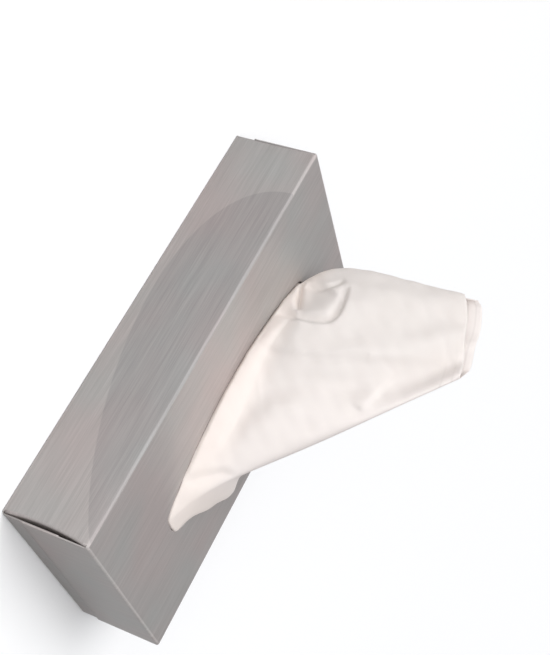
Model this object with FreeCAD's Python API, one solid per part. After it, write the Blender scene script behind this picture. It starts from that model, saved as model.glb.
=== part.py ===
import FreeCAD, Part
import math
import os
from FreeCAD import Vector

os.makedirs("parts", exist_ok=True)

# Tissue box. Millimetres, +Z up, origin at the middle of the base.
# X runs along the box. The torn finger end of the opening points to +X.

# Driving sizes of the folded carton
box_length = 230.0
box_width = 116.0
box_height = 46.0
board = 0.5
fold_radius = 1.2

# End closures, the same at both ends
outer_flap_gap = 10.0
inner_flap_height = 30.0
dust_flap_length = 38.0
dust_flap_relief = 2.0
dust_flap_slant = 9.0
dust_flap_root_overlap = 0.3
cutter_overshoot = 1.0
flap_side_relief = 0.9
glue_lap_width = 16.0

# Dispensing opening in the top panel: two long arcs, round tips and a finger end
opening_half_width = 19.0
opening_side_radius = 190.0
opening_tip_radius = 6.0
finger_radius = 11.0
finger_inset = 52.0
finger_offset = 4.0

# Stack of interfolded sheets inside
stack_end_room = 8.5
stack_side_room = 3.0
stack_top_room = 5.5
stack_edge_radius = 3.0
stack_corner_radius = 5.0

# The sheet that stands in the opening, drawn thicker than real paper
sheet_thickness = 0.8
sheet_seat = 0.5
rim_clearance = 1.1
sheet_rise = 99.0
sheet_top_width = 47.0
sheet_top_half_depth = 4.0
far_bulge = 21.0
near_hollow = 16.0
top_edge_drop = 9.0
tail_length = 34.0
tail_bend_length = 9.0
belly_depth = 7.0
crease_depth = 5.0
ripple_depth = 1.3
grid_across = 46
near_fold_part = 0.6
bulge_reach = 0.14
hollow_reach = 0.08
near_swell = 5.0
crease_envelope = 0.25
crease_place = -0.1
crease_breadth = 0.22
ripple_across = 7.0
ripple_upwards = 4.0
grid_up = 20
grid_tail = 10

# Angles along the sheet's section, from the far end round the near end
section_start = math.pi - 0.12
section_end_low = 2.0 * math.pi + 1.0
section_end_high = 3.0 * math.pi - 0.5
section_widening = 0.55

# The section's form: 2 is an ellipse, more is squarer
low_roundness = 1.6
added_roundness = 1.2
roundness_reach = 0.6
section_ease = 0.12
narrowing_reach = 0.9
narrowing_power = 0.8
row_spacing_power = 1.25


def smooth_step(value):
    """0 below 0, 1 above 1, with a smooth rise between."""
    value = min(1.0, max(0.0, value))
    return value * value * (3.0 - 2.0 * value)


def rounded_rectangle(length, width, radius, height):
    """A flat face of length x width at z = height, centred, with round corners."""
    half_x = length / 2.0
    half_y = width / 2.0
    dip = radius * (1.0 - math.sqrt(0.5))
    edges = []
    corners = [(1, 1), (-1, 1), (-1, -1), (1, -1)]
    for number, (side_x, side_y) in enumerate(corners):
        along_x = Vector(side_x * (half_x - radius), side_y * half_y, height)
        along_y = Vector(side_x * half_x, side_y * (half_y - radius), height)
        middle = Vector(side_x * (half_x - dip), side_y * (half_y - dip), height)
        first, last = (along_y, along_x) if number % 2 == 0 else (along_x, along_y)
        edges.append(Part.Arc(first, middle, last).toShape())
    wire_edges = []
    for number, edge in enumerate(edges):
        following = edges[(number + 1) % len(edges)]
        wire_edges.append(edge)
        wire_edges.append(Part.makeLine(edge.Vertexes[-1].Point, following.Vertexes[0].Point))
    return Part.Face(Part.Wire(wire_edges))


def turned(shape, axis, angle):
    """A copy of a shape turned about an axis through the origin."""
    copy = shape.copy()
    copy.rotate(Vector(0, 0, 0), axis, angle)
    return copy


def panel_tube():
    """The four long panels: a sleeve with round folds, open at both ends."""
    end_setback = fold_radius + 2.0 * board
    sleeve_length = box_length - 2.0 * end_setback
    inner_radius = fold_radius - board
    outer = rounded_rectangle(box_height, box_width, fold_radius, 0.0)
    inner = rounded_rectangle(box_height - 2 * board, box_width - 2 * board, inner_radius, 0.0)
    ring = outer.cut(inner)
    sleeve = turned(ring.extrude(Vector(0, 0, sleeve_length)), Vector(0, 1, 0), 90)
    sleeve.translate(Vector(-sleeve_length / 2.0, 0, box_height / 2.0))
    return sleeve


def bent_strip(half_span, drop, thickness, radius, width):
    """A flat strip with both ends folded down.

    The profile lies in X and Z. Its top is at z = 0, the folded ends reach
    z = -drop, and it is as wide as width, centred on y = 0.
    """
    inner_radius = radius - thickness
    slope = math.sqrt(0.5)
    points = {
        "low_out": Vector(half_span, 0, -drop),
        "bend_out": Vector(half_span, 0, -radius),
        "mid_out": Vector(half_span - radius * (1 - slope), 0, -radius * (1 - slope)),
        "top_out": Vector(half_span - radius, 0, 0),
        "top_in": Vector(half_span - radius, 0, -thickness),
        "mid_in": Vector(half_span - radius + inner_radius * slope, 0,
                         -radius + inner_radius * slope),
        "bend_in": Vector(half_span - thickness, 0, -radius),
        "low_in": Vector(half_span - thickness, 0, -drop),
    }

    def other(name):
        return Vector(-points[name].x, 0, points[name].z)

    def line(first, last):
        return Part.makeLine(first, last)

    def arc(first, middle, last):
        return Part.Arc(first, middle, last).toShape()

    right = points
    edges = [
        line(right["low_in"], right["low_out"]),
        line(right["low_out"], right["bend_out"]),
        arc(right["bend_out"], right["mid_out"], right["top_out"]),
        line(right["top_out"], other("top_out")),
        arc(other("top_out"), other("mid_out"), other("bend_out")),
        line(other("bend_out"), other("low_out")),
        line(other("low_out"), other("low_in")),
        line(other("low_in"), other("bend_in")),
        arc(other("bend_in"), other("mid_in"), other("top_in")),
        line(other("top_in"), right["top_in"]),
        arc(right["top_in"], right["mid_in"], right["bend_in"]),
        line(right["bend_in"], right["low_in"]),
    ]
    strip = Part.Face(Part.Wire(edges)).extrude(Vector(0, width, 0))
    strip.translate(Vector(0, -width / 2.0, 0))
    return strip


def top_with_outer_flaps():
    """The top panel with the outer closing flap at each end."""
    width = box_width - 2.0 * flap_side_relief
    drop = box_height - outer_flap_gap
    strip = bent_strip(box_length / 2.0, drop, board, fold_radius, width)
    strip.translate(Vector(0, 0, box_height))
    return strip


def base_with_inner_flaps():
    """The base panel with the inner closing flap at each end, one board further in."""
    width = box_width - 2.0 * (flap_side_relief + board)
    half_span = box_length / 2.0 - board
    strip = bent_strip(half_span, inner_flap_height, board, fold_radius, width)
    return turned(strip, Vector(1, 0, 0), 180)


def side_with_dust_flaps(side):
    """One side panel with its short dust flaps, two boards further in than the end."""
    height = box_height - 2.0 * fold_radius
    half_span = box_length / 2.0 - 2.0 * board
    strip = bent_strip(half_span, dust_flap_length, board, fold_radius, height)
    for end in (-1, 1):
        strip = strip.cut(dust_flap_trims(end, height))
    strip = turned(strip, Vector(1, 0, 0), -90 * side)
    strip.translate(Vector(0, side * box_width / 2.0, box_height / 2.0))
    return strip


def dust_flap_trims(end, height):
    """The two wedges that give a dust flap its slanted edges, as one shape."""
    start = -(fold_radius + dust_flap_relief)
    stop = -dust_flap_length - cutter_overshoot
    reach = box_length / 2.0 + cutter_overshoot
    depth = 4.0 * board + 3.0 * cutter_overshoot
    wedges = []
    for edge in (-1, 1):
        outer_y = edge * (height / 2.0 + cutter_overshoot)
        root_y = edge * (height / 2.0 - dust_flap_root_overlap)
        tip_y = edge * (height / 2.0 - dust_flap_slant)
        x_place = end * reach
        corners = [
            Vector(x_place, outer_y, start),
            Vector(x_place, root_y, start),
            Vector(x_place, tip_y, stop),
            Vector(x_place, outer_y, stop),
            Vector(x_place, outer_y, start),
        ]
        face = Part.Face(Part.makePolygon(corners))
        wedges.append(face.extrude(Vector(-end * depth, 0, 0)))
    return Part.makeCompound(wedges)


def glue_lap():
    """The glued lap: a strip of board inside the hidden side panel, under the top fold."""
    end_setback = fold_radius + 2.0 * board + dust_flap_relief
    length = box_length - 2.0 * end_setback
    lap = Part.makeBox(length, board, glue_lap_width)
    inner_face = box_width / 2.0 - board
    top = box_height - fold_radius
    lap.translate(Vector(-length / 2.0, inner_face - board, top - glue_lap_width))
    return lap


def opening_tip_x():
    """Where the round tip of the opening has its centre, measured from the middle."""
    arc_centre = opening_side_radius - opening_half_width
    reach = opening_side_radius - opening_tip_radius
    return math.sqrt(reach * reach - arc_centre * arc_centre)


def opening_end_x():
    """How far the opening reaches from the middle."""
    return opening_tip_x() + opening_tip_radius


def opening_cutter():
    """The torn-out shape: a long lens with round tips, and a round finger end at +X."""
    arc_centre = opening_side_radius - opening_half_width
    tip_x = opening_tip_x()
    reach = opening_side_radius - opening_tip_radius
    touch_x = tip_x * opening_side_radius / reach
    touch_y = opening_side_radius * arc_centre / reach - arc_centre
    end_x = opening_end_x()
    edges = []
    for side in (1, -1):
        first = Vector(side * touch_x, side * touch_y, 0)
        middle = Vector(0, side * opening_half_width, 0)
        last = Vector(-side * touch_x, side * touch_y, 0)
        edges.append(Part.Arc(first, middle, last).toShape())
        tip_last = Vector(-side * touch_x, -side * touch_y, 0)
        edges.append(Part.Arc(last, Vector(-side * end_x, 0, 0), tip_last).toShape())
    lens = Part.Face(Part.Wire(edges)).extrude(Vector(0, 0, box_height))
    finger_x = box_length / 2.0 - finger_inset
    finger_place = Vector(finger_x, finger_offset, 0)
    finger = Part.makeCylinder(finger_radius, box_height, finger_place)
    cutter = lens.fuse(finger)
    cutter.translate(Vector(0, 0, box_height / 2.0))
    return cutter


def carton():
    """The whole folded and glued carton, one piece of board."""
    pieces = [
        top_with_outer_flaps(),
        base_with_inner_flaps(),
        side_with_dust_flaps(1),
        side_with_dust_flaps(-1),
        glue_lap(),
    ]
    folded = panel_tube().multiFuse(pieces)
    opened = folded.cut(opening_cutter())
    return opened.removeSplitter()


def stack_top():
    """Height of the top of the stack."""
    return box_height - board - stack_top_room


def tissue_stack():
    """The folded sheets that are still inside, as one soft-edged block."""
    length = box_length - 2.0 * stack_end_room
    width = box_width - 2.0 * board - 2.0 * stack_side_room
    height = stack_top() - board
    block = rounded_rectangle(length, width, stack_corner_radius, board)
    block = block.extrude(Vector(0, 0, height))
    top_edges = []
    for edge in block.Edges:
        middle = edge.BoundBox.Center
        if middle.z > stack_top() - 0.01:
            top_edges.append(edge)
    return block.makeFillet(stack_edge_radius, top_edges)


def far_edge(rise):
    """X of the sheet's far edge, bulging out above the opening; rise is 0 to 1."""
    start = -(opening_end_x() - rim_clearance)
    return start - far_bulge * (1.0 - math.exp(-rise / bulge_reach))


def near_edge(rise):
    """X of the sheet's near fold, which leans back to the far end; rise is 0 to 1."""
    start = opening_end_x() - rim_clearance
    top = far_edge(1.0) + sheet_top_width
    straight = start - near_hollow + (top - start + near_hollow) * rise
    hollow = near_hollow * math.exp(-rise / hollow_reach)
    return straight + hollow + near_swell * math.sin(math.pi * rise)


def crease_shift(x, rise):
    """Sideways shift of all layers: a belly, one long crease and soft ripples."""
    envelope = smooth_step(rise / crease_envelope)
    middle = 0.5 * (far_edge(rise) + near_edge(rise))
    half = 0.5 * (near_edge(rise) - far_edge(rise))
    across = (x - middle) / half
    belly = -belly_depth * math.sin(math.pi * min(rise, 1.0)) * math.cos(0.5 * math.pi * across)
    crease = crease_depth * math.exp(-((across - crease_place) / crease_breadth) ** 2)
    ripple = ripple_depth * math.sin(ripple_across * across + ripple_upwards * rise)
    return envelope * (belly + crease + ripple)


def softened(value, power):
    """value raised to a power with its sign kept, and smooth through zero."""
    eased = (value * value + section_ease) / (1.0 + section_ease)
    return value * eased ** (0.5 * (power - 1.0))


def section_angle(part, rise):
    """Angle round the section, with the near fold always at the same share of it."""
    fold = 2.0 * math.pi
    if part <= near_fold_part:
        return section_start + (fold - section_start) * part / near_fold_part
    widen = smooth_step(rise / section_widening)
    stop = section_end_low + (section_end_high - section_end_low) * widen
    return fold + (stop - fold) * (part - near_fold_part) / (1.0 - near_fold_part)


def section_half_depth(rise):
    """Half the depth of the section across Y."""
    low = opening_half_width - rim_clearance
    shrink = smooth_step(rise / narrowing_reach)
    return low + (sheet_top_half_depth - low) * shrink ** narrowing_power


def sheet_point(part, rise, outward, height):
    """One point of the sheet.

    The section is a flattened loop, |x/a|^n + |y/b|^n = 1, open on the far
    side. part runs along it from 0 to 1, outward is the distance from the
    middle of the paper, rise is 0 at the panel and 1 at the top edge.
    """
    angle = section_angle(part, rise)
    power = 2.0 / (low_roundness + added_roundness * smooth_step(rise / roundness_reach))
    half_length = 0.5 * (near_edge(rise) - far_edge(rise)) + outward
    half_depth = section_half_depth(rise) + outward
    cosine = math.cos(angle)
    sine = math.sin(angle)
    x = half_length * softened(cosine, power) + 0.5 * (near_edge(rise) + far_edge(rise))
    y = half_depth * softened(sine, power) + crease_shift(x, rise)
    return Vector(x, y, height)


def tail_path():
    """The hidden tail, from its end up to the rim, in even steps.

    Each step gives the outward distance, the height, and the two parts of the
    direction that points away from the paper's outer face.
    """
    bottom = stack_top() + sheet_seat + sheet_thickness / 2.0
    flat_length = tail_length - tail_bend_length
    substeps = 20
    step = tail_length / float((grid_tail - 1) * substeps)
    walked = [(0.0, bottom, 0.0)]
    for number in range((grid_tail - 1) * substeps):
        travelled = (number + 0.5) * step
        turn = 0.5 * math.pi * smooth_step((travelled - flat_length) / tail_bend_length)
        inward, up, last_turn = walked[-1]
        walked.append((inward + step * math.cos(turn), up + step * math.sin(turn), turn))
    reach = walked[-1][0]
    path = []
    for inward, up, turn in walked[::substeps]:
        path.append((reach - inward, up, math.sin(turn), math.cos(turn)))
    return path


def sheet_rows(side):
    """Rows of points on one face of the sheet; side is 1 outside and -1 inside."""
    offset = side * sheet_thickness / 2.0
    rows = []
    for out, height, normal_out, normal_up in tail_path():
        row = []
        for number in range(grid_across):
            part = number / float(grid_across - 1)
            distance = out + offset * normal_out
            row.append(sheet_point(part, 0.0, distance, height + offset * normal_up))
        rows.append(row)
    rim = rows[-1][0].z
    for step in range(1, grid_up + 1):
        rise = (step / float(grid_up)) ** row_spacing_power
        row = []
        for number in range(grid_across):
            part = number / float(grid_across - 1)
            along = abs(math.cos(math.pi * part))
            drop = top_edge_drop * rise * along
            height = rim + (box_height + sheet_rise - rim) * rise - drop
            row.append(sheet_point(part, rise, offset, height))
        rows.append(row)
    return rows


def strip_facets(first, second):
    """Triangles between two rows of point numbers."""
    facets = []
    for left in range(len(first) - 1):
        facets.append((first[left], first[left + 1], second[left]))
        facets.append((second[left], first[left + 1], second[left + 1]))
    return facets


def pulled_tissue():
    """The sheet standing in the opening, as one thin closed solid of small flat facets."""
    outer = sheet_rows(1)
    inner = sheet_rows(-1)
    points = []
    numbers = []
    for rows in (outer, inner):
        face_numbers = []
        for row in rows:
            face_numbers.append(list(range(len(points), len(points) + len(row))))
            points.extend(row)
        numbers.append(face_numbers)
    outside, inside = numbers
    facets = []
    for lower in range(len(outside) - 1):
        facets += strip_facets(outside[lower], outside[lower + 1])
        facets += strip_facets(inside[lower + 1], inside[lower])
    facets += strip_facets(inside[0], outside[0])
    facets += strip_facets(outside[-1], inside[-1])
    starts = [[row[0] for row in face] for face in numbers]
    ends = [[row[-1] for row in face] for face in numbers]
    facets += strip_facets(starts[0], starts[1])
    facets += strip_facets(ends[1], ends[0])
    skin = Part.Shape()
    skin.makeShapeFromMesh((points, facets), 0.001)
    solid = Part.Solid(Part.Shell(skin.Faces))
    if solid.Volume < 0:
        solid.reverse()
    return solid


def write(name, shape):
    """Save one sub-part and print what it measures."""
    shape.exportStep("parts/" + name + ".step")
    box = shape.BoundBox
    print(name, "valid", shape.isValid(), "solids", len(shape.Solids), "faces", len(shape.Faces),
          "volume", round(shape.Volume, 1))
    print("   x", round(box.XMin, 2), round(box.XMax, 2), "y", round(box.YMin, 2),
          round(box.YMax, 2), "z", round(box.ZMin, 2), round(box.ZMax, 2))


write("carton", carton())
write("tissue_stack", tissue_stack())
write("pulled_tissue", pulled_tissue())
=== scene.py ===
# %% [markdown]
# # A tissue box with one tissue pulled up
#
# The object is a flat carton of board, printed in brushed silver-grey, with an
# oval torn out of its top panel. Inside lies a stack of interfolded tissues, and
# the top one stands in the opening. Three pieces are made here around the packed
# frame: the carton, the stack and the standing sheet.

# %% Load the frame
import math

import bmesh
import bpy
import numpy as np
from mathutils import Matrix, Vector


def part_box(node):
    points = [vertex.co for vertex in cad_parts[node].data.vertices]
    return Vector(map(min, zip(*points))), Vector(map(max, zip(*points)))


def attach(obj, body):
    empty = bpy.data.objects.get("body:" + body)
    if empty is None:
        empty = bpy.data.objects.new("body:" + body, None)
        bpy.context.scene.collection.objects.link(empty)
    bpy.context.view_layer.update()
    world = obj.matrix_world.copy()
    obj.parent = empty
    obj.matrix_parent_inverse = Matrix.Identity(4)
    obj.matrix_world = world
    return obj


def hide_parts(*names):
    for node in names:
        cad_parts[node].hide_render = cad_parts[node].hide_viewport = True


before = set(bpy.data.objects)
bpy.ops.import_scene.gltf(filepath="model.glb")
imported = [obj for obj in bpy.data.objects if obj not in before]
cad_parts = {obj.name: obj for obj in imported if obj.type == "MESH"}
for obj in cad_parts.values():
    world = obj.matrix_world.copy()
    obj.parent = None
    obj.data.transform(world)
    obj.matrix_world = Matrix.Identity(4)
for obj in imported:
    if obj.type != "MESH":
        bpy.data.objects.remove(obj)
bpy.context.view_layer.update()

# %% [markdown]
# ## Sizes
#
# Everything below is worked out in millimetres and turned to metres at the last
# moment. The outer sizes come from the frame, so the scene can't drift from it.
# The rest are the real sizes of a folded carton: its board, its fold radius and
# the torn opening.

# %% Sizes in millimetres
MM = 0.001
far_away = 1e9
carton_low, carton_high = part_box("carton")
length = (carton_high[0] - carton_low[0]) / MM
width = (carton_high[1] - carton_low[1]) / MM
height = carton_high[2] / MM
board = 0.5
fold_radius = 1.2
outer_flap_gap = 10.0
inner_flap_height = 30.0
dust_flap_length = 38.0
dust_flap_slant = 9.0
flap_side_relief = 0.9
opening_half_width = 19.0
opening_side_radius = 190.0
opening_tip_radius = 6.0
finger_radius = 11.0
finger_inset = 52.0
finger_x = length / 2.0 - finger_inset
finger_y = 4.0
nick_depth = 0.16
nick_spacing = 2.2
stack_low, stack_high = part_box("tissue_stack")
stack_top = stack_high[2] / MM
print("carton", round(length, 1), "x", round(width, 1), "x", round(height, 1), "mm")

# %% [markdown]
# ## Helpers
#
# A surface here is a grid of points worked out as whole arrays. One function
# turns such a grid into vertices and four-sided faces, and another joins several
# grids into one mesh. Each grid carries its own flat coordinates in millimetres
# as a UV map, because print and paper grain follow the sheet, not the room.


# %% Grids to meshes
def smooth_step(value):
    """0 below 0 and 1 above 1, with 3v^2 - 2v^3 between."""
    value = np.clip(value, 0.0, 1.0)
    return value * value * (3.0 - 2.0 * value)


def walked(first, second):
    """Distance walked along a line of points, from its first one to each."""
    steps = np.hypot(np.diff(first), np.diff(second))
    return np.concatenate([[0.0], np.cumsum(steps)])


def grid_faces(rows, columns, start=0, flip=False):
    """Corner numbers of every four-sided face of a grid stored row by row."""
    numbers = start + np.arange(rows * columns).reshape(rows, columns)
    corners = [numbers[:-1, :-1], numbers[:-1, 1:], numbers[1:, 1:], numbers[1:, :-1]]
    if flip:
        corners.reverse()
    return np.stack([corner.ravel() for corner in corners], axis=1)


def facing_out(points, uv):
    """The patch with its faces turned away from the middle of the carton.

    The normals are cross products of the grid's two directions. The sign of their
    sum along the way out of the carton tells whether the patch must be flipped.
    """
    across = points[:-1, 1:] - points[:-1, :-1]
    along = points[1:, :-1] - points[:-1, :-1]
    way_out = points[:-1, :-1] - np.array([0.0, 0.0, height / 2.0])
    total = (np.cross(across, along) * way_out).sum()
    return points, uv, bool(total < 0.0)


def mesh_from_patches(name, patches):
    """One object from a list of (points, uv, flip), each a rows x columns grid in mm."""
    all_points = []
    all_faces = []
    all_uvs = []
    start = 0
    for points, uv, flip in patches:
        rows, columns = points.shape[:2]
        all_points.append(points.reshape(-1, 3))
        all_uvs.append(uv.reshape(-1, 2))
        all_faces.append(grid_faces(rows, columns, start, flip))
        start += rows * columns
    points = np.concatenate(all_points) * MM
    uvs = np.concatenate(all_uvs)
    faces = np.concatenate(all_faces)
    mesh = bpy.data.meshes.new(name)
    mesh.from_pydata(points.tolist(), [], faces.tolist())
    layer = mesh.uv_layers.new(name="sheet_mm")
    layer.data.foreach_set("uv", uvs[faces.ravel()].astype(np.float32).ravel())
    mesh.polygons.foreach_set("use_smooth", np.ones(len(faces), dtype=bool))
    mesh.update()
    piece = bpy.data.objects.new(name, mesh)
    bpy.context.scene.collection.objects.link(piece)
    return piece


def merge_borders(piece, distance=0.02):
    """Join the grids' shared borders; distance is in millimetres."""
    work = bmesh.new()
    work.from_mesh(piece.data)
    before = len(work.verts)
    bmesh.ops.remove_doubles(work, verts=work.verts, dist=distance * MM)
    work.to_mesh(piece.data)
    work.free()
    print(piece.name, "merged", before - len(piece.data.vertices), "points")


def apply_modifiers(piece):
    """Replace the piece's mesh by what its modifiers make of it."""
    graph = bpy.context.evaluated_depsgraph_get()
    finished = bpy.data.meshes.new_from_object(piece.evaluated_get(graph))
    piece.modifiers.clear()
    piece.data = finished
    print(piece.name, "has", len(finished.polygons), "faces")


# %% [markdown]
# ## The opening
#
# On the real box a perforated oval is torn out: two long arcs that meet in round
# tips, and a wider round end where a finger goes in. The torn edge keeps the
# small nicks of the perforation. The outline is worked out as a distance from
# the middle in each direction, which is enough for a shape with no overhang.


# %% Opening outline
def opening_reach(angle):
    """Distance from the middle of the panel to the torn edge, for an array of directions.

    The two side arcs are circles about (0, -171) and (0, 171), the tips and the
    finger end are circles on or near the long axis. Along one direction each
    circle is left at p + sqrt(r^2 - q^2), where p and q are the parts of its
    centre along and across that direction. Inside the lens the nearer side arc
    counts, and the finger end adds to it where it reaches further.
    """
    along_x = np.cos(angle)
    along_y = np.sin(angle)
    offset = opening_side_radius - opening_half_width
    lens = np.full_like(angle, far_away)
    for side in (-1.0, 1.0):
        forward = side * offset * along_y
        across = side * offset * along_x
        leave = forward + np.sqrt(opening_side_radius**2 - across**2)
        lens = np.minimum(lens, leave)
    tip_reach = opening_side_radius - opening_tip_radius
    tip_x = math.sqrt(tip_reach**2 - offset**2)
    touch = tip_x * opening_side_radius / tip_reach
    for side in (-1.0, 1.0):
        forward = side * tip_x * along_x
        across = side * tip_x * along_y
        inside = np.sqrt(np.maximum(opening_tip_radius**2 - across**2, 0.0))
        beyond = (lens * along_x * side > touch) & (np.abs(across) < opening_tip_radius)
        lens = np.where(beyond, forward + inside, lens)
    forward = finger_x * along_x + finger_y * along_y
    across = finger_x * along_y - finger_y * along_x
    hits = (np.abs(across) < finger_radius) & (forward > 0.0)
    finger = forward + np.sqrt(np.maximum(finger_radius**2 - across**2, 0.0))
    return np.where(hits, np.maximum(lens, finger), lens)


def opening_outline(angle):
    """Points of the torn edge in mm, with the nicks of the perforation.

    A nick is a raised cosine of the distance along the edge, sharpened by a power.
    """
    reach = opening_reach(angle)
    x = reach * np.cos(angle)
    y = reach * np.sin(angle)
    step = np.hypot(np.diff(x, append=x[:1]), np.diff(y, append=y[:1]))
    travelled = np.cumsum(step)
    wave = 0.5 + 0.5 * np.cos(2.0 * math.pi * travelled / nick_spacing)
    nick = nick_depth * wave**3
    return (reach + nick) * np.cos(angle), (reach + nick) * np.sin(angle)


sample = opening_reach(np.array([0.0, math.pi / 2.0, math.pi]))
print("opening reaches", np.round(sample, 1), "mm at 0, 90 and 180 degrees")

# %% [markdown]
# ## The carton
#
# The real carton is one die-cut blank. Here it is built the same way: flat
# panels that bow a little, joined by round folds of 1.2 mm, with the closing
# flaps folded over each end. Each panel is a grid, the shared borders are merged,
# and a Solidify modifier gives the whole skin the thickness of the board. The
# top panel is a ring of points between the torn edge and the panel's border.


# %% Carton panels
half_x = length / 2.0
half_y = width / 2.0
flat_x = half_x - fold_radius
flat_y = half_y - fold_radius
panel_bow = 0.45
outer_flap_bow = 0.5
inner_flap_bow = 0.1
rim_lift = 0.35
rim_lift_reach = 80.0
deepest_rim = -0.1
border_squeeze = 0.676
ring_rows = 22
ring_power = 1.4
top_set_back = 0.6
near_corner_dent = 1.7
other_corner_dent = 0.2
side_print_start = 100.0
dust_flap_print_start = 300.0
fold_turn = np.linspace(0.0, 0.5 * math.pi, 7)


def bow(along, across):
    """How far a panel stands out: highest in the middle, nothing at its folds.

    along and across run from -1 to 1, and the height is (1 - a^2)(1 - b^2).
    """
    return panel_bow * (1.0 - along**2) * (1.0 - across**2)


def panel_border(per_long=150, per_short=60):
    """Points of the top panel's border, evenly spaced along its four sides."""
    xs = np.linspace(-flat_x, flat_x, per_long + 1)
    ys = np.linspace(-flat_y, flat_y, per_short + 1)
    right = np.full(per_short, flat_x)
    back = np.full(per_long, flat_y)
    x = np.concatenate([xs[:-1], right, xs[:0:-1], -right, xs[:1]])
    y = np.concatenate([-back, ys[:-1], back, ys[:0:-1], ys[:1]])
    return x, y


def top_panel():
    """The top panel as a ring from the torn edge (row 0) to the rectangle (last row).

    Each border point (x, y) is joined to the point of the torn edge in the
    direction (x, 0.676 y), so that both run round together. The standing sheet
    lifts the middle of the torn edge a little.
    """
    border_x, border_y = panel_border()
    inner_x, inner_y = opening_outline(np.arctan2(border_squeeze * border_y, border_x))
    inner_x[-1], inner_y[-1] = inner_x[0], inner_y[0]
    share = np.linspace(0.0, 1.0, ring_rows)[:, None] ** ring_power
    x = inner_x[None, :] * (1.0 - share) + border_x[None, :] * share
    y = inner_y[None, :] * (1.0 - share) + border_y[None, :] * share
    lift = rim_lift * (1.0 - share) ** 4 * (1.0 - (x / rim_lift_reach) ** 2)
    z = height + bow(x / flat_x, y / flat_y) + np.maximum(lift, deepest_rim)
    points = np.stack([x, y, z], axis=2)
    uv = np.stack([x, y], axis=2)
    return facing_out(points, uv)


def end_set_back(level, near_corner):
    """How far the fold of a dust flap lies inside the carton's end, by its level 0..1.

    It leaves room for the two closing flaps over it. At mid height it is pressed
    in by 4 v (1 - v) times a dent, the deepest at the corner nearest to the viewer.
    """
    dent = np.where(near_corner, near_corner_dent, other_corner_dent)
    return top_set_back + board * (1.0 - level) + dent * 4.0 * level * (1.0 - level)


def sleeve_section():
    """Y and Z round the box: a rounded rectangle without its top.

    It runs from the top fold on the near side down, along the base and up the
    other side.
    """
    up = np.linspace(0.0, 1.0, 17)[1:-1]
    across = np.linspace(-flat_y, flat_y, 25)[1:-1]
    low = fold_radius
    high = height - fold_radius
    bend_sine = fold_radius * np.sin(fold_turn)
    bend_cosine = fold_radius * np.cos(fold_turn)
    side = np.full(len(up), half_y)
    y = [-flat_y - bend_sine, -side, -flat_y - bend_cosine, across,
         flat_y + bend_sine, side, flat_y + bend_cosine]
    z = [high + bend_cosine, high - (high - low) * up, low - bend_sine, 0.0 * across,
         low - bend_cosine, low + (high - low) * up, high + bend_sine]
    return np.concatenate(y), np.concatenate(z)


def sleeve_folds():
    """The base and side panels and the four long folds, as one strip round the box.

    The side panels end at the folds of the dust flaps, a little inside the
    carton's ends.
    """
    section_y, section_z = sleeve_section()
    share, row = np.meshgrid(np.linspace(-1.0, 1.0, 151), np.arange(len(section_y)))
    y = section_y[row]
    z = section_z[row]
    level = np.clip((z - fold_radius) / (height - 2.0 * fold_radius), 0.0, 1.0)
    on_side = np.abs(y) > half_y - 0.01
    set_back = end_set_back(level, (y < 0.0) & (share > 0.0))
    near_end = np.where(on_side, np.clip(np.abs(share) * 20.0 - 19.0, 0.0, 1.0), 0.0)
    x = share * flat_x - np.sign(share) * set_back * near_end
    y = y + np.sign(y) * np.where(on_side, bow(share, 2.0 * level - 1.0), 0.0)
    points = np.stack([x, y, z], axis=2)
    uv = np.stack([x, walked(section_y, section_z)[row] + side_print_start], axis=2)
    return facing_out(points, uv)


def end_flap(end, from_top, reach, inset, side_room, stand_off):
    """One closing flap: a fold of a quarter turn and a flat face down or up the end.

    end is -1 or 1 along X. inset is how far its outer face lies inside the box's
    end, side_room how far its sides stay inside the box's width, and stand_off how
    far its middle bows outwards. Its first row is the panel's border, and over the
    next eight rows it narrows to its own width.
    """
    face_rows = 19
    drop = np.linspace(fold_radius, reach, face_rows)[1:]
    face = np.full(face_rows - 1, half_x - inset)
    out = np.concatenate([flat_x - inset + fold_radius * np.sin(fold_turn), face])
    down = np.concatenate([fold_radius - fold_radius * np.cos(fold_turn), drop])
    half = half_y - side_room
    share, row = np.meshgrid(np.linspace(-1.0, 1.0, 61), np.arange(len(out)))
    y = share * (flat_y + (half - flat_y) * smooth_step(row / 8.0))
    share_down = np.clip((down[row] - fold_radius) / (reach - fold_radius), 0.0, 1.0)
    puff = stand_off * np.sin(math.pi * share_down) * (1.0 - share**2)
    x = end * (out[row] + puff)
    z = height - down[row] if from_top else down[row]
    points = np.stack([x, y, z], axis=2)
    uv = np.stack([end * (flat_x + walked(out, down)[row]), y], axis=2)
    return facing_out(points, uv)


def dust_flap(end, side):
    """One dust flap, turned in from a side panel behind the closing flaps.

    Its first column is the side panel's own end, so the two meet in one edge.
    """
    face_rows = 14
    reach = np.linspace(fold_radius, dust_flap_length, face_rows)[1:]
    out = np.concatenate([fold_radius * np.sin(fold_turn), np.full(face_rows - 1, fold_radius)])
    inward = np.concatenate([fold_radius - fold_radius * np.cos(fold_turn), reach])
    level, row = np.meshgrid(np.linspace(0.0, 1.0, 17), np.arange(len(out)))
    slant = dust_flap_slant * np.clip(inward[row] / dust_flap_length, 0.0, 1.0)
    middle = height / 2.0
    z = middle + (2.0 * level - 1.0) * (middle - fold_radius - slant)
    x = end * (flat_x + out[row] - end_set_back(level, side < 0 < end))
    y = side * (half_y - inward[row])
    points = np.stack([x, y, z], axis=2)
    uv = np.stack([x, z + dust_flap_print_start], axis=2)
    return facing_out(points, uv)


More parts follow.
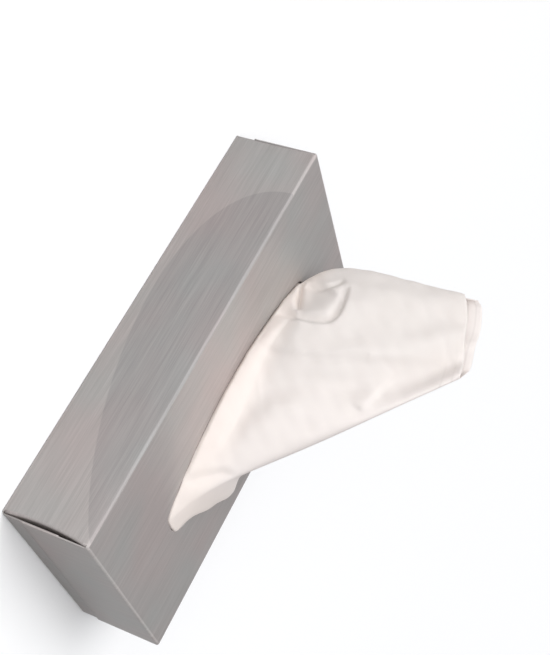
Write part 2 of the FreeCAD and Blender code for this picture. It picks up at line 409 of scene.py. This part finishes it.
def corner_cap(end, side):
    """The crushed upper corner between two folds: an eighth of a ball of the fold radius."""
    tilt, round_corner = np.meshgrid(fold_turn, fold_turn)
    x = end * (flat_x + fold_radius * np.cos(tilt) * np.sin(round_corner))
    y = side * (flat_y + fold_radius * np.sin(tilt) * np.sin(round_corner))
    z = height - fold_radius + fold_radius * np.cos(round_corner)
    points = np.stack([x, y, z], axis=2)
    uv = np.stack([x, y], axis=2)
    return facing_out(points, uv)


# %% Build the carton
patches = [top_panel(), sleeve_folds()]
for end in (-1, 1):
    outer_reach = height - outer_flap_gap
    inner_relief = flap_side_relief + board
    patches.append(end_flap(end, True, outer_reach, 0.0, flap_side_relief, outer_flap_bow))
    patches.append(end_flap(end, False, inner_flap_height, board, inner_relief, inner_flap_bow))
    for side in (-1, 1):
        patches.append(dust_flap(end, side))
        patches.append(corner_cap(end, side))
carton = mesh_from_patches("carton_board", patches)
merge_borders(carton)
wall = carton.modifiers.new("board thickness", "SOLIDIFY")
wall.thickness = board * MM
wall.offset = -1.0
wall.material_offset = 1
wall.material_offset_rim = 1
wall.use_even_offset = True
apply_modifiers(carton)

# %% [markdown]
# ## The stack
#
# A hundred sheets are folded into each other and cut to a block. Seen from the
# side it is a pile of soft folded edges. The block is one closed surface: rings
# round the pile from the base to the top, with a fine ripple for the layers.


# %% Stack of tissues
stack_layers = 47.0
layer_ripple = 0.0022
rounded_edge = 0.022
stack_slack = 0.004
stack_around = 361
stack_levels = 96


def stack_surface():
    """A soft block: its outline is |x/a|^12 + |y/b|^12 = 1 at every level.

    Going up, a and b shrink by 2 percent at the top and bottom edges, and ripple
    by 0.2 percent from layer to layer. The top is closed by shrinking rings.
    """
    around = np.linspace(0.0, 2.0 * math.pi, stack_around)
    cosine = np.cos(around)
    sine = np.sin(around)
    size = (np.abs(cosine) ** 12 + np.abs(sine) ** 12) ** (-1.0 / 12.0)
    half_length = (stack_high[0] - stack_low[0]) / 2.0 / MM
    half_width = (stack_high[1] - stack_low[1]) / 2.0 / MM
    bottom = stack_low[2] / MM
    rise = np.linspace(0.0, 1.0, stack_levels)
    edge = 1.0 - rounded_edge * (np.abs(2.0 * rise - 1.0) ** 10)
    ripple = layer_ripple * np.sin(rise * 2.0 * math.pi * stack_layers)
    close = np.linspace(1.0 - rounded_edge, 0.0, 12)[1:]
    grow = np.concatenate([edge + ripple - stack_slack, close])[:, None]
    levels = np.concatenate([bottom + (stack_top - bottom) * rise, np.full(11, stack_top)])
    x = half_length * cosine * size * grow
    y = half_width * sine * size * grow
    z = np.repeat(levels[:, None], stack_around, axis=1)
    points = np.stack([x, y, z], axis=2)
    uv = np.stack([np.repeat(around[None, :] * 50.0, len(x), axis=0), z], axis=2)
    return facing_out(points, uv)


stack = mesh_from_patches("tissue_pile", [stack_surface()])
merge_borders(stack)

# %% [markdown]
# ## The standing sheet
#
# A two-ply tissue is pulled up and stays standing, gathered by the opening. Its
# section is a flattened loop that is open on the far side: the front layer hugs
# the near edge of the opening, turns at the finger end and comes back behind.
# Higher up the loop narrows and leans to the far end. Under the panel the sheet
# spreads out on the stack. The shape is one surface of two parameters: how far
# across the sheet, and how far along it.

# %% Sizes of the sheet
sheet_rise = 99.0
rim_room = 0.7
far_bulge = 21.0
far_bulge_reach = 0.14
near_hollow = 19.0
near_hollow_reach = 0.08
near_swell = 2.4
top_width = 47.0
top_half_depth = 3.8
tail_length = 34.0
tail_bend = 9.0
tail_gap = 0.9
tail_steps = 400
front_corner_drop = 17.0
back_corner_drop = 9.0
belly_depth = 7.0
long_crease_depth = 4.5
ripple_depth = 1.3
finger_end_room = 8.2
rim_lean = 15.0
rim_lean_x = 40.0
near_fold_part = 0.55
row_power = 1.25
cut_width = 205.0
paper_thickness = 0.22
opening_end = float(sample[2])
sheet_columns = 261
sheet_tail_rows = 24
sheet_up_rows = 136


# %% Shape of the sheet
def far_edge(rise):
    """X of the far silhouette, which bulges out above the opening."""
    return -(opening_end - rim_room) - far_bulge * (1.0 - np.exp(-rise / far_bulge_reach))


def near_edge(rise):
    """X of the near fold: a straight lean, with a hollow low down and a swell above."""
    start = opening_end - rim_room
    top = -(opening_end - rim_room) - far_bulge + top_width
    straight = start - near_hollow + (top - start + near_hollow) * rise
    hollow = near_hollow * np.exp(-rise / near_hollow_reach)
    return straight + hollow + near_swell * np.sin(math.pi * rise)


def rounded_path(points):
    """A path with its corners cut at a quarter and three quarters, three times."""
    path = np.array(points, dtype=float)
    for _ in range(3):
        first = 0.75 * path[:-1] + 0.25 * path[1:]
        second = 0.25 * path[:-1] + 0.75 * path[1:]
        middle = np.stack([first, second], axis=1).reshape(-1, 2)
        path = np.concatenate([path[:1], middle, path[-1:]])
    return path


def fold_line(x, z, points, left, right, depth):
    """One fold that follows a path of (x, z) points, in mm.

    With d the distance to the path, it is depth * exp(-(d/b)^2), where b is left
    or right by the side on which the point lies. A small b makes a crisp side. It
    fades out at both ends with the root of the sine of the way along.
    """
    path = rounded_path(points)
    steps = np.diff(path, axis=0)
    lengths = np.hypot(steps[:, 0], steps[:, 1])
    starts = walked(path[:, 0], path[:, 1])
    nearest = np.full(x.shape, far_away)
    side = np.zeros(x.shape)
    place = np.zeros(x.shape)
    for number, (run_x, run_z) in enumerate(steps):
        off_x = x - path[number, 0]
        off_z = z - path[number, 1]
        share = np.clip((off_x * run_x + off_z * run_z) / lengths[number] ** 2, 0.0, 1.0)
        away = np.hypot(off_x - share * run_x, off_z - share * run_z)
        closer = away < nearest
        nearest = np.where(closer, away, nearest)
        side = np.where(closer, run_x * off_z - run_z * off_x, side)
        place = np.where(closer, starts[number] + share * lengths[number], place)
    fade = np.sqrt(np.clip(np.sin(math.pi * place / starts[-1]), 0.0, 1.0))
    breadth = np.where(side > 0.0, left, right)
    return depth * fade * np.exp(-((nearest / breadth) ** 2))


def fold_sum(x, z, folds):
    """All folds of a list together; each is (path, left, right, depth)."""
    total = np.zeros(x.shape)
    for path, left, right, depth in folds:
        total = total + fold_line(x, z, path, left, right, depth)
    return total


def shared_shift(x, rise):
    """Sideways shift of every layer at one place, so that no layer meets another.

    With a the place across from -1 to 1, it is a belly sin(pi rise) cos(pi a / 2),
    a long crease exp(-((a - 0.42) / 0.3)^2) and ripples sin(7 a + 4 rise).
    """
    envelope = smooth_step(rise / 0.22)
    middle = 0.5 * (far_edge(rise) + near_edge(rise))
    half = 0.5 * (near_edge(rise) - far_edge(rise))
    across = (x - middle) / half
    swell = np.sin(math.pi * np.clip(rise, 0.0, 1.0))
    belly = -belly_depth * swell * np.cos(0.5 * math.pi * across)
    long_crease = long_crease_depth * np.exp(-(((across - 0.42) / 0.3) ** 2))
    ripple = ripple_depth * np.sin(7.0 * across + 4.0 * rise)
    return envelope * (belly + long_crease + ripple)


def crumple(x, z):
    """Slight waves that any handled tissue has: four crossing sines of 9 to 31 mm."""
    waves = 0.28 * np.sin(0.33 * x + 0.21 * z + 0.6) * np.sin(0.11 * z - 0.17 * x)
    waves = waves + 0.16 * np.sin(0.52 * z - 0.41 * x + 1.7) * np.sin(0.2 * x + 0.9)
    return waves


def front_folds(x, z):
    """The folds of the layer that faces the viewer; above 0 lies further back.

    A swell hugs the torn edge, with a shoulder above it. At the far end a corner is
    tucked in and leaves a small pocket with a curled edge. A long fold climbs from
    the opening to the free edge with a crisp crease beside it and a shallow valley
    on its near side, and another fold marks the turn at the finger end.
    """
    near_rim = [(-72, 48), (-45, 48.8), (0, 48.8), (40, 48.8), (64, 48)]
    shoulder = [(-46, 59), (-32, 57), (-16, 56), (4, 57), (26, 57), (43, 54), (54, 51)]
    pocket = [(-44, 49), (-44, 60), (-45, 70), (-48, 78), (-55, 79), (-63, 78), (-72, 75)]
    curl = [(-69, 49), (-64, 51), (-56, 54), (-49, 58)]
    tuck = [(-68, 53), (-67, 61), (-71, 68), (-77, 71)]
    long_fold = [(-23, 50), (-22, 64), (-25, 76), (-29, 87), (-36, 98), (-45, 115), (-56, 134)]
    dent = [(-38, 113), (-29, 110), (-22, 109), (-13, 107)]
    crease = [(-23, 50), (-22, 60), (-24, 71), (-29, 86), (-38, 102)]
    pocket_floor = [(-50, 57), (-57, 65), (-66, 70)]
    valley = [(-54, 140), (-42, 126), (-31, 112), (-22, 98), (-15, 84), (-9, 72), (-2, 60)]
    finger_fold = [(55, 47), (46, 53), (39, 61), (40, 71)]
    return crumple(x, z) + fold_sum(x, z, [
        (near_rim, 6.0, 1.7, -2.0),
        (shoulder, 9.0, 2.2, 2.1),
        (pocket, 2.8, 1.5, 4.0),
        (curl, 2.2, 0.8, 4.0),
        (tuck, 1.8, 2.2, 2.4),
        (long_fold, 8.0, 1.8, -2.3),
        (dent, 2.2, 7.0, -2.0),
        (crease, 1.2, 2.6, 1.9),
        (pocket_floor, 9.0, 8.0, 3.2),
        (valley, 9.0, 6.0, 4.0),
        (finger_fold, 1.1, 5.0, 2.4),
    ])


def back_folds(x, z):
    """Two plain folds of the layer behind, where it faces away from the viewer."""
    first = [(20, 50), (-6, 74), (-30, 104), (-46, 134)]
    second = [(-60, 78), (-66, 104), (-80, 132)]
    return fold_sum(x, z, [(first, 3.0, 8.0, 1.6), (second, 5.0, 2.0, -1.6)])


def finger_end_shift(angle, z):
    """How far the layer behind moves out at the finger end, in mm.

    At the rim it follows the wider end of the opening, and 9 mm above it no more.
    """
    past_fold = angle - 2.0 * math.pi
    fill = smooth_step((past_fold + 0.1) / 0.25) * (1.0 - smooth_step((past_fold - 0.5) / 0.4))
    return finger_end_room * fill * (1.0 - smooth_step((z - height) / 9.0))


def lean_over_rim(x, angle, z):
    """The swell of the layer behind over the far rim, full from 6.5 to 11 mm above it.

    Along the rim it is exp(-((x - 40) / b)^2), with b 26 mm to the finger end and
    5.5 mm to the far end.
    """
    past_fold = angle - 2.0 * math.pi
    breadth = np.where(x > rim_lean_x, 26.0, 5.5)
    along = np.exp(-(((x - rim_lean_x) / breadth) ** 2))
    above = z - height
    level = smooth_step((above - 0.5) / 6.0) * (1.0 - smooth_step((above - 11.0) / 9.0))
    return rim_lean * along * level * smooth_step((past_fold - 0.02) / 0.32)


def section_angle(part, rise):
    """Angle round the section; the near fold, at a full turn, is always at one part.

    Low down the sheet starts behind the far tip and ends early on the far side.
    Higher up it starts at the far end and goes nearly round to it.
    """
    fold = 2.0 * math.pi
    start = math.pi - 0.12 - 0.55 * (1.0 - smooth_step(rise / 0.16))
    widen = smooth_step(rise / 0.55)
    stop = fold + 1.0 + (math.pi - 1.5 + 0.9 * smooth_step((rise - 0.45) / 0.5)) * widen
    before = start + (fold - start) * part / near_fold_part
    after = fold + (stop - fold) * (part - near_fold_part) / (1.0 - near_fold_part)
    return np.where(part <= near_fold_part, before, after)


def softened(value, power):
    """|value|^power with its sign, kept smooth where value is 0."""
    ease = 0.12
    return value * ((value * value + ease) / (1.0 + ease)) ** (0.5 * (power - 1.0))


def sheet_section(part, rise, outward):
    """X, Y and angle at every (part, rise), outward from the loop by a distance.

    The loop is |x/a|^n + |y/b|^n = 1, where n grows from 1.6 to 2.8. Past the far
    end the last stretch curls inside the loop, so it is half as deep there.
    """
    angle = section_angle(part, rise)
    power = 2.0 / (1.6 + 1.2 * smooth_step(rise / 0.6))
    low_depth = opening_half_width - rim_room
    shrink = smooth_step(rise / 0.9) ** 0.8
    half_depth = low_depth + (top_half_depth - low_depth) * shrink + outward
    half_length = 0.5 * (near_edge(rise) - far_edge(rise)) + outward
    inner = smooth_step((angle - 3.0 * math.pi + 0.75) / 0.5)
    x = half_length * softened(np.cos(angle), power) * (1.0 - 0.07 * inner)
    x = x + 0.5 * (near_edge(rise) + far_edge(rise))
    y = half_depth * softened(np.sin(angle), power) * (1.0 - 0.5 * inner)
    return x, y + shared_shift(x, rise), angle


def tail_path():
    """Distance outside the rim and height of each row of the tail, from its end up.

    The tail's direction turns from flat to upright by 90 degrees times the smooth
    step of the way along its last stretch, the bend.
    """
    step = tail_length / tail_steps
    travelled = (np.arange(tail_steps) + 0.5) * step
    turn = 0.5 * math.pi * smooth_step((travelled - tail_length + tail_bend) / tail_bend)
    inward = np.concatenate([[0.0], np.cumsum(step * np.cos(turn))])
    climb = np.concatenate([[0.0], np.cumsum(step * np.sin(turn))])
    picks = np.linspace(0, tail_steps, sheet_tail_rows).astype(int)
    return inward[-1] - inward[picks], stack_top + tail_gap + climb[picks]


def tail_points(part):
    """The part of the sheet that lies on the stack and climbs to the rim."""
    outward, level = tail_path()
    outward = outward[:, None]
    z = level[:, None] + 0.0 * part
    x, y, angle = sheet_section(part + 0.0 * outward, 0.0 * outward, outward)
    return np.stack([x, y + finger_end_shift(angle, z), z], axis=2)


def standing_points(part, rim):
    """The part above the rim. Its rows climb with a power of their number.

    The free edge drops to both corners of the sheet, more in front than behind.
    """
    rows = np.arange(1, sheet_up_rows + 1) / sheet_up_rows
    rise = rows[:, None] ** row_power + 0.0 * part
    x, y, angle = sheet_section(part + 0.0 * rise, rise, 0.0)
    drop = front_corner_drop * (1.0 - smooth_step(part / 0.48))
    drop = drop + back_corner_drop * smooth_step((part - 0.68) / 0.32)
    z = rim + (height + sheet_rise - rim) * rise - drop * rise
    front = 1.0 - smooth_step((part - 0.46) / 0.12)
    y = y + front * front_folds(x, z) + (1.0 - front) * back_folds(x, z)
    y = y + finger_end_shift(angle, z) + lean_over_rim(x, angle, z)
    return np.stack([x, y, z], axis=2)


def sheet_surface():
    """The whole sheet: first the tail under the panel, then the standing part.

    Its uv is the place on the flat sheet in mm: across it, and down from the free
    edge.
    """
    part = np.linspace(0.0, 1.0, sheet_columns)[None, :]
    tail = tail_points(part)
    rim = tail[-1, 0, 2]
    points = np.concatenate([tail, standing_points(part, rim)])
    run = np.linalg.norm(np.diff(points, axis=0), axis=2).mean(axis=1)
    along = np.concatenate([[0.0], np.cumsum(run)])
    from_edge = (along[-1] - along)[:, None] + 0.0 * part
    uv = np.stack([cut_width * part + 0.0 * from_edge, from_edge], axis=2)
    return points, uv, True


sheet = mesh_from_patches("standing_tissue", [sheet_surface()])
paper = sheet.modifiers.new("paper thickness", "SOLIDIFY")
paper.thickness = paper_thickness * MM
paper.offset = 0.0
apply_modifiers(sheet)

# %% [markdown]
# ## Materials
#
# Colours are written as sRGB hex, as a picture program shows them, and one
# function turns them to the linear values that the shader wants. A second small
# function adds a node with its settings and links, so a material reads as a
# short list.


# %% Material helpers
def linear(code):
    """Linear red, green, blue and alpha of an sRGB hex colour."""
    values = [int(code[i:i + 2], 16) / 255.0 for i in (1, 3, 5)]
    curve = [v / 12.92 if v <= 0.04045 else ((v + 0.055) / 1.055) ** 2.4 for v in values]
    return (*curve, 1.0)


def add_node(tree, kind, settings=None, inputs=None):
    """Add a node; settings are its properties, inputs are values or sockets to link."""
    node = tree.nodes.new(kind)
    for key, value in (settings or {}).items():
        setattr(node, key, value)
    for key, value in (inputs or {}).items():
        if isinstance(value, bpy.types.NodeSocket):
            tree.links.new(value, node.inputs[key])
        else:
            node.inputs[key].default_value = value
    return node


def new_material(name):
    """An empty material and its node tree."""
    material = bpy.data.materials.new(name)
    material.use_nodes = True
    material.node_tree.nodes.clear()
    return material, material.node_tree


def math_node(tree, operation, first, second=0.0, third=0.0):
    """The output of a Math node."""
    values = {0: first, 1: second, 2: third}
    return add_node(tree, "ShaderNodeMath", {"operation": operation}, values).outputs[0]


def within_unit(tree, value):
    """The value, held between 0 and 1."""
    return math_node(tree, "MINIMUM", math_node(tree, "MAXIMUM", value, 0.0), 1.0)


def map_range(tree, value, low, high, to_low=0.0, to_high=1.0):
    """The value carried from one range to another, held between its ends."""
    return add_node(tree, "ShaderNodeMapRange", inputs={
        "Value": value, "From Min": low, "From Max": high,
        "To Min": to_low, "To Max": to_high}).outputs[0]


def mix_colour(tree, share, first, second, blend="MIX"):
    """The colour output of a Mix node; 0, 6 and 7 are its share and two colours."""
    settings = {"data_type": "RGBA", "blend_type": blend}
    values = {0: share, 6: first, 7: second}
    return add_node(tree, "ShaderNodeMix", settings, values).outputs[2]


def object_place(tree):
    """The shaded point in the piece's own frame, in metres."""
    return add_node(tree, "ShaderNodeTexCoord").outputs["Object"]


def parts_of(tree, vector):
    """The three parts of a vector."""
    return add_node(tree, "ShaderNodeSeparateXYZ", inputs={0: vector}).outputs[:3]


def sheet_place(tree):
    """The shaded point on the flat sheet, in millimetres."""
    return add_node(tree, "ShaderNodeUVMap", {"uv_map": "sheet_mm"}).outputs[0]


def finish_material(tree, surface):
    """Give the material its surface."""
    add_node(tree, "ShaderNodeOutputMaterial", inputs={"Surface": surface})


# %% [markdown]
# ### Printed board
#
# The board is folding boxboard with a white coated face, printed in silver-grey
# ink as brushed metal: fine streaks along each panel, and a darker half-oval that
# hangs from the top fold on both long sides. The streaks are noise stretched
# along the sheet's own coordinate, so they turn down the end flaps as the real
# ones do. A thin varnish gives a soft, broad sheen.


# %% Printed board
oval_start = -0.087
oval_span = 0.1995
oval_depth = 0.094
oval_blunt_power = 0.45
oval_taper_power = 0.85
oval_soft_edge = 0.0005
oval_side_room = 0.9


def past(tree, value, limit):
    """1 where a distance from the middle, in metres, is more than a limit in mm."""
    size = math_node(tree, "ABSOLUTE", value)
    return math_node(tree, "GREATER_THAN", size, limit * MM)


def half_oval_mask(tree):
    """1 inside the darker field of the long sides, 0 outside.

    Its depth below the top fold at a share t of its length is
    94 t^0.45 (1 - t)^0.85 mm, blunt at one end and long at the other. The
    second side has the same field turned half round.
    """
    x, y, z = parts_of(tree, object_place(tree))
    facing = math_node(tree, "SIGN", y)
    turned = math_node(tree, "MULTIPLY", x, math_node(tree, "MULTIPLY", facing, -1.0))
    past_start = math_node(tree, "SUBTRACT", turned, oval_start)
    share = within_unit(tree, math_node(tree, "DIVIDE", past_start, oval_span))
    rest = math_node(tree, "SUBTRACT", 1.0, share)
    blunt = math_node(tree, "POWER", share, oval_blunt_power)
    long_taper = math_node(tree, "POWER", rest, oval_taper_power)
    outline = math_node(tree, "MULTIPLY", blunt, long_taper)
    depth = math_node(tree, "MULTIPLY", outline, oval_depth)
    below = math_node(tree, "SUBTRACT", height * MM, z)
    inside = math_node(tree, "SUBTRACT", depth, below)
    soft = within_unit(tree, math_node(tree, "DIVIDE", inside, oval_soft_edge))
    return math_node(tree, "MULTIPLY", soft, past(tree, y, half_y - oval_side_room))


def fold_mask(tree):
    """1 on the folds, where at least two of the carton's outer faces meet."""
    x, y, z = parts_of(tree, object_place(tree))
    from_middle = math_node(tree, "SUBTRACT", z, 0.5 * height * MM)
    past_x = past(tree, x, flat_x)
    past_y = past(tree, y, flat_y)
    past_z = past(tree, from_middle, 0.5 * height - fold_radius)
    total = math_node(tree, "ADD", math_node(tree, "ADD", past_x, past_y), past_z)
    return math_node(tree, "GREATER_THAN", total, 1.5)


def streak_noise(tree, place, across, along, detail=3.0):
    """Noise stretched into streaks; across and along are the streaks' sizes in mm."""
    scale = add_node(tree, "ShaderNodeMapping", inputs={
        "Vector": place, "Scale": (1.0 / along, 1.0 / across, 1.0)})
    noise = add_node(tree, "ShaderNodeTexNoise", inputs={
        "Vector": scale.outputs[0], "Scale": 1.0, "Detail": detail, "Roughness": 0.6})
    return noise.outputs[0]


def printed_board():
    """Silver-grey brushed print on coated board.

    The folds are rougher and less metallic, because the print is worn there, so
    they don't flash. A slow change from cool to warm grey keeps the panels lively.
    """
    material, tree = new_material("brushed_print_board")
    place = sheet_place(tree)
    fine = math_node(tree, "MULTIPLY", streak_noise(tree, place, 0.35, 26.0), 0.6)
    broad = math_node(tree, "MULTIPLY", streak_noise(tree, place, 1.6, 70.0), 0.4)
    streaks = math_node(tree, "ADD", fine, broad)
    spread = map_range(tree, streaks, 0.33, 0.67)
    silver = mix_colour(tree, spread, linear("#A8A5A3"), linear("#C2BFBD"))
    dark = mix_colour(tree, spread, linear("#9C9A99"), linear("#B5B2B1"))
    printed = mix_colour(tree, half_oval_mask(tree), silver, dark)
    cloud = add_node(tree, "ShaderNodeTexNoise", inputs={
        "Vector": place, "Scale": 0.018, "Detail": 2.0}).outputs[0]
    tint = map_range(tree, cloud, 0.35, 0.65)
    warm = mix_colour(tree, tint, linear("#F6F8F7"), linear("#FFF5F4"))
    colour = mix_colour(tree, 1.0, printed, warm, "MULTIPLY")
    worn = fold_mask(tree)
    rough = map_range(tree, spread, 0.0, 1.0, 0.36, 0.46)
    bump = add_node(tree, "ShaderNodeBump", inputs={
        "Strength": 0.12, "Distance": 0.00006, "Height": streaks})
    shader = add_node(tree, "ShaderNodeBsdfPrincipled", inputs={
        "Base Color": colour,
        "Roughness": math_node(tree, "MULTIPLY_ADD", worn, 0.3, rough),
        "Metallic": math_node(tree, "MULTIPLY_ADD", worn, -0.4, 0.45),
        "Normal": bump.outputs[0],
        "Coat Weight": 0.15,
        "Coat Roughness": 0.35})
    finish_material(tree, shader.outputs[0])
    return material


def raw_board():
    """The uncoated inner face and the cut edges: grey-white fibre, quite matt."""
    material, tree = new_material("uncoated_board_back")
    fibre = add_node(tree, "ShaderNodeTexNoise", inputs={
        "Vector": object_place(tree), "Scale": 900.0, "Detail": 4.0}).outputs[0]
    colour = mix_colour(tree, fibre, linear("#CFC9BF"), linear("#E6E1D8"))
    shader = add_node(tree, "ShaderNodeBsdfPrincipled", inputs={
        "Base Color": colour, "Roughness": 0.92})
    finish_material(tree, shader.outputs[0])
    return material


# %% [markdown]
# ### Tissue
#
# Facial tissue is two thin plies of creped fibre: matt, very white with a warm
# cast, and thin enough for light to come through. So the shader is a rough
# surface mixed with a translucent one. The crepe is a fine grain across the
# sheet, drawn coarser than the real 0.3 mm so that it shows at all.


# %% Tissue paper
# Painted light: the span across the sheet, in mm, over which the tissue is painted whiter.
painted_light_start = 55.0
painted_light_end = 105.0
# Painted light: a warm glow is painted on the tissue up to 52 mm above the floor and fades out
# by 64 mm.
painted_glow_low = 0.052
painted_glow_high = 0.064
ply_lines = (3.6, 8.4)


def tissue_paper(name, translucent):
    """Creped two-ply tissue; translucent is the share of light that passes.

    Its colour carries painted light: it is painted whiter across the sheet towards
    the near fold, in place of light scattered through the gathered layers, and a
    warm glow is painted near the rim, in place of light thrown back and forth
    between its layers. Two faint lines along the free edge are where the plies
    are pressed together.
    """
    material, tree = new_material(name)
    place = sheet_place(tree)
    across, from_edge = parts_of(tree, place)[:2]
    crepe = streak_noise(tree, place, 0.7, 3.0, 4.0)
    cloud = streak_noise(tree, place, 14.0, 20.0, 3.0)
    # Painted light: a share that rises from 55 to 105 mm across the sheet paints the tissue
    # whiter towards the near fold. The ply lines below are faded in by the same share.
    painted_light_share = map_range(tree, across, painted_light_start, painted_light_end)
    painted_shade_tone = mix_colour(tree, cloud, linear("#F6F1ED"), linear("#FBF7F4"))
    body = mix_colour(tree, painted_light_share, painted_shade_tone, linear("#FFFAF7"))
    # Painted light: a warm cream glow is painted low on the sheet near the rim, for light
    # thrown back and forth between the layers.
    above_base = parts_of(tree, object_place(tree))[2]
    near_rim = map_range(tree, above_base, painted_glow_low, painted_glow_high, 1.0, 0.0)
    colour = mix_colour(tree, near_rim, body, linear("#FFF8F3"))
    for line in ply_lines:
        away = math_node(tree, "ABSOLUTE", math_node(tree, "SUBTRACT", from_edge, line))
        pressed = map_range(tree, away, 0.2, 0.8, 0.12, 0.0)
        shown = math_node(tree, "MULTIPLY", pressed, painted_light_share)
        colour = mix_colour(tree, shown, colour, linear("#B9B2AC"))
    bump = add_node(tree, "ShaderNodeBump", inputs={
        "Strength": 0.25, "Distance": 0.00012, "Height": crepe}).outputs[0]
    shader = add_node(tree, "ShaderNodeBsdfPrincipled", inputs={
        "Base Color": colour, "Roughness": 0.9, "Normal": bump, "Specular IOR Level": 0.2})
    through = add_node(tree, "ShaderNodeBsdfTranslucent", inputs={
        "Color": colour, "Normal": bump})
    mixed = add_node(tree, "ShaderNodeMixShader", inputs={
        0: translucent, 1: shader.outputs[0], 2: through.outputs[0]})
    finish_material(tree, mixed.outputs[0])
    return material


# %% Dress the pieces
carton.data.materials.clear()
carton.data.materials.append(printed_board())
carton.data.materials.append(raw_board())
sheet.data.materials.clear()
sheet.data.materials.append(tissue_paper("tissue_two_ply", 0.36))
stack.data.materials.append(tissue_paper("tissue_stacked", 0.0))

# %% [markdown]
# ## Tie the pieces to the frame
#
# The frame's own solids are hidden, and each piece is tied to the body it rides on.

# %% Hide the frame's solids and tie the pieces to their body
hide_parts("carton")
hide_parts("tissue_stack")
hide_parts("pulled_tissue")
for piece in (carton, stack, sheet):
    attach(piece, "root")

# %% [markdown]
# ## Floor, light and camera
#
# The box stands on a plain white floor under soft studio light. The floor
# shows as white to the camera and still takes the box's shadow.

# %% Floor
floor_half = 3.0
floor_corners = [(-1, -1), (1, -1), (1, 1), (-1, 1)]
floor_points = [(floor_half * x, floor_half * y, 0.0) for x, y in floor_corners]
floor_mesh = bpy.data.meshes.new("floor")
floor_mesh.from_pydata(floor_points, [], [(0, 1, 2, 3)])
floor = bpy.data.objects.new("floor", floor_mesh)
bpy.context.scene.collection.objects.link(floor)
floor_material, floor_tree = new_material("white_floor")
seen_floor = add_node(floor_tree, "ShaderNodeBsdfDiffuse", inputs={0: linear("#FFFFFF")})
dim_floor = add_node(floor_tree, "ShaderNodeBsdfDiffuse", inputs={0: linear("#C6C6C6")})
floor_rays = add_node(floor_tree, "ShaderNodeLightPath")
floor_mix = add_node(floor_tree, "ShaderNodeMixShader", inputs={
    0: floor_rays.outputs["Is Camera Ray"], 1: dim_floor.outputs[0], 2: seen_floor.outputs[0]})
finish_material(floor_tree, floor_mix.outputs[0])
floor_mesh.materials.append(floor_material)

# %% [markdown]
# The room gives a soft fill that is stronger from the viewer's side. A broad high
# window lights the top, and a small low one the near end of the sheet.

# %% Light
fill_level = 0.58
fill_slope = (-0.05, -0.27, 0.0)
world = bpy.data.worlds.new("studio")
bpy.context.scene.world = world
world.use_nodes = True
room = world.node_tree
room.nodes.clear()
rays = add_node(room, "ShaderNodeLightPath")
seen = add_node(room, "ShaderNodeBackground", inputs={0: linear("#FFFFFF"), 1: 1.0})
way = add_node(room, "ShaderNodeTexCoord").outputs["Generated"]
slope = add_node(room, "ShaderNodeVectorMath", {"operation": "DOT_PRODUCT"}, {
    0: way, 1: fill_slope})
level = math_node(room, "ADD", slope.outputs["Value"], fill_level)
fill = add_node(room, "ShaderNodeBackground", inputs={0: linear("#FAFBFE"), 1: level})
which = add_node(room, "ShaderNodeMixShader", inputs={
    0: rays.outputs["Is Camera Ray"], 1: fill.outputs[0], 2: seen.outputs[0]})
add_node(room, "ShaderNodeOutputWorld", inputs={0: which.outputs[0]})


def place_lamp(name, data, towards):
    """Put a lamp in the scene; towards points from the object to the lamp."""
    lamp = bpy.data.objects.new(name, data)
    lamp.rotation_euler = Vector(towards).to_track_quat("Z", "Y").to_euler()
    bpy.context.scene.collection.objects.link(lamp)
    return lamp


def soft_sun(name, towards, level, spread):
    """A far lamp that lights a facing white surface to the given level.

    spread is its width in degrees.
    """
    data = bpy.data.lights.new(name, "SUN")
    data.energy = level * math.pi
    data.angle = math.radians(spread)
    return place_lamp(name, data, towards)


def near_window(name, place, towards, size, watts):
    """A square lamp of the given size at a place, both in metres."""
    data = bpy.data.lights.new(name, "AREA")
    data.size = size
    data.energy = watts
    lamp = place_lamp(name, data, towards)
    lamp.location = place
    return lamp


soft_sun("high window", (-0.22, -0.45, 0.86), 0.5, 50.0)
near_window("low window", (0.15, -0.47, 0.18), (0.13, -0.42, 0.13), 0.3, 0.6)

# %% [markdown]
# ## Camera
#
# The photographed box is seen from a low angle with the camera turned on its
# side. The place, the direction and the turn were solved from the box's edges.

# %% Camera
camera_place = Vector((0.2421, -0.5259, 0.2968))
camera_aim = Vector((-0.02692, -0.03196, 0.0600))
camera_turn = math.radians(107.12)
picture_long_side = 655.0
focal_pixels = 1265.2
sensor = 36.0
lens_data = bpy.data.cameras.new("camera")
lens_data.sensor_width = sensor
lens_data.lens = focal_pixels * sensor / picture_long_side
camera = bpy.data.objects.new("camera", lens_data)
aim_turn = (camera_aim - camera_place).to_track_quat("-Z", "Y").to_matrix().to_4x4()
roll = Matrix.Rotation(camera_turn, 4, "Z")
camera.matrix_world = Matrix.Translation(camera_place) @ aim_turn @ roll
bpy.context.scene.collection.objects.link(camera)
bpy.context.scene.camera = camera
bpy.context.scene.view_settings.view_transform = "Standard"
